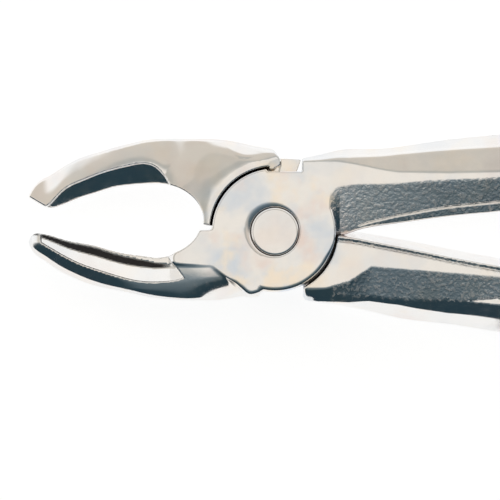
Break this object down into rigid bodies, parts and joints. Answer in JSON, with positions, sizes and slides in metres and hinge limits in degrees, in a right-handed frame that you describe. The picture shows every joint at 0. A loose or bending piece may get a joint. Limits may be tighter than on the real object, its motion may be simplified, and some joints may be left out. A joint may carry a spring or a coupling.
{
  "type": "extraction forceps",
  "caption": "Hinged dental extraction forceps with two gouged beaks, a lap joint held by a flush round screw and two long faceted handles.",
  "frame": {"origin": "where the hinge axis meets the joint's flat back face", "axes": "+Z along the hinge axis, from the back face to the screw head; +X along the tool, towards the handles; +Y towards the near half's handle and the far half's beak"},
  "size_m": [0.1734, 0.0443, 0.01],
  "materials": {
    "polished_steel": "gloss",
    "screw_steel": "satin"
  },
  "bodies": {
    "far_body": {"far_half": "polished_steel", "joint_screw": "screw_steel"},
    "near_body": {"near_half": "polished_steel"}
  },
  "joints": [
    {"name": "joint_hinge", "type": "hinge", "parent": "far_body", "child": "near_body", "pos_m": [0, 0, 0.005], "axis": [0, 0, 1], "range_deg": [-1.5, 17]}
  ]
}
